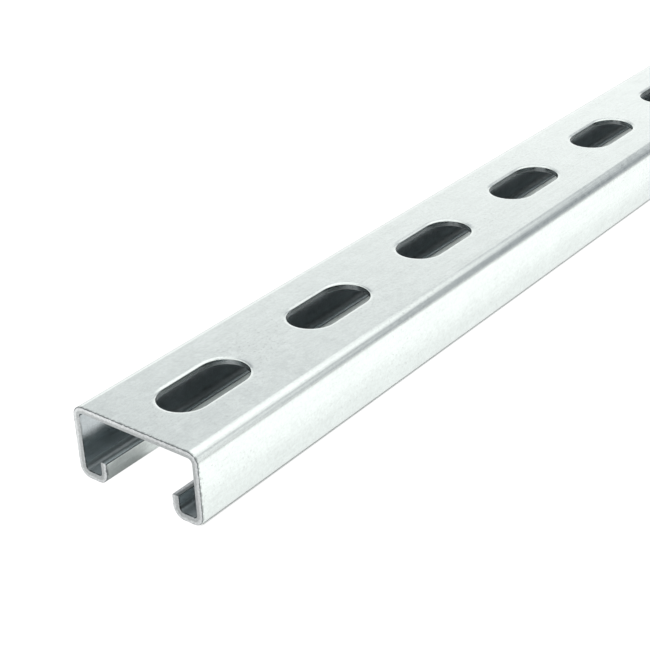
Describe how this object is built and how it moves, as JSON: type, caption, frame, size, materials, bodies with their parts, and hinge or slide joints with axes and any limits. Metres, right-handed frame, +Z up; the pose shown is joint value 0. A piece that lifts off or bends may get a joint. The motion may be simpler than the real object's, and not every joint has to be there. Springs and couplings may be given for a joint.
{
  "type": "slotted strut channel",
  "caption": "Low-profile strut channel in galvanised steel: C section with in-turned lips and a row of long bolt slots in the web.",
  "frame": {"origin": "midway along the stock and midway across it, at the level of the two flanges that it rests on", "axes": "+X along the stock, +Y across it, +Z up, from the open side to the slotted web"},
  "size_m": [0.6096, 0.0412, 0.0206],
  "materials": {
    "galvanised_steel": "satin pre-galvanised zinc with a fine spangle"
  },
  "bodies": {
    "root": {"channel": "galvanised_steel"}
  },
  "joints": []
}
